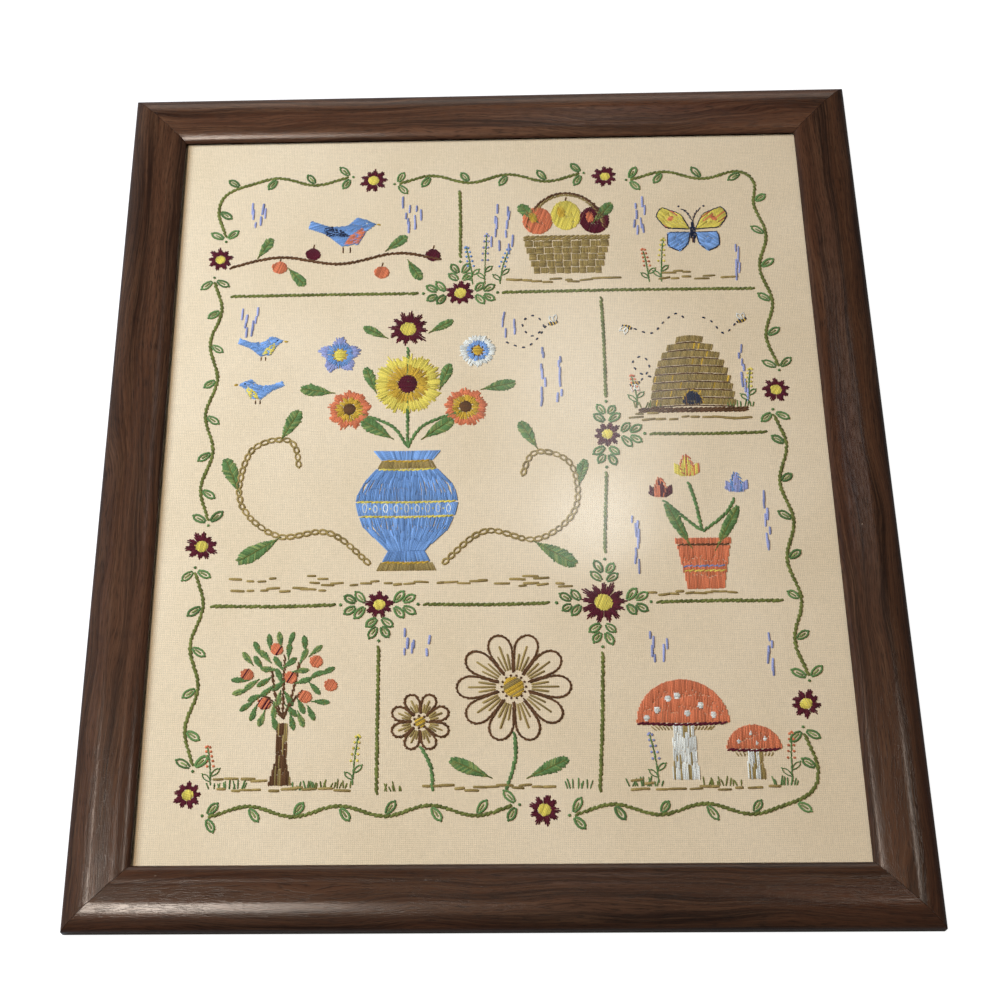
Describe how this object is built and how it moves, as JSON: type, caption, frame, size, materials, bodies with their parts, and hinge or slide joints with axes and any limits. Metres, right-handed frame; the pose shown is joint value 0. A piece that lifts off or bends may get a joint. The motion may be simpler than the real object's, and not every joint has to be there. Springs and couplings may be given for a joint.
{
  "type": "crewel embroidery panel in its frame",
  "caption": "Rectangular linen panel worked in wool, under glass in a mitred dark wooden frame with a rounded moulding; lies flat on its back.",
  "frame": {"origin": "centre of the back, in the plane that the rails' backs rest on", "axes": "+Z out of the front of the panel, its shortest extent; +Y towards the top rail, its longest extent; +X to the right as the panel is read"},
  "size_m": [0.49, 0.575, 0.0132],
  "materials": {
    "stained_wood": "open-grained hardwood stained dark brown, satin varnish",
    "clear_glass": "clear, plain",
    "linen": "natural even-weave linen worked in coloured wool",
    "hardboard": "plain brown board"
  },
  "bodies": {
    "root": {"rail_top": "stained_wood", "rail_bottom": "stained_wood", "rail_left": "stained_wood", "rail_right": "stained_wood", "glass": "clear_glass", "embroidered_linen": "linen", "backing_board": "hardboard"}
  },
  "joints": []
}
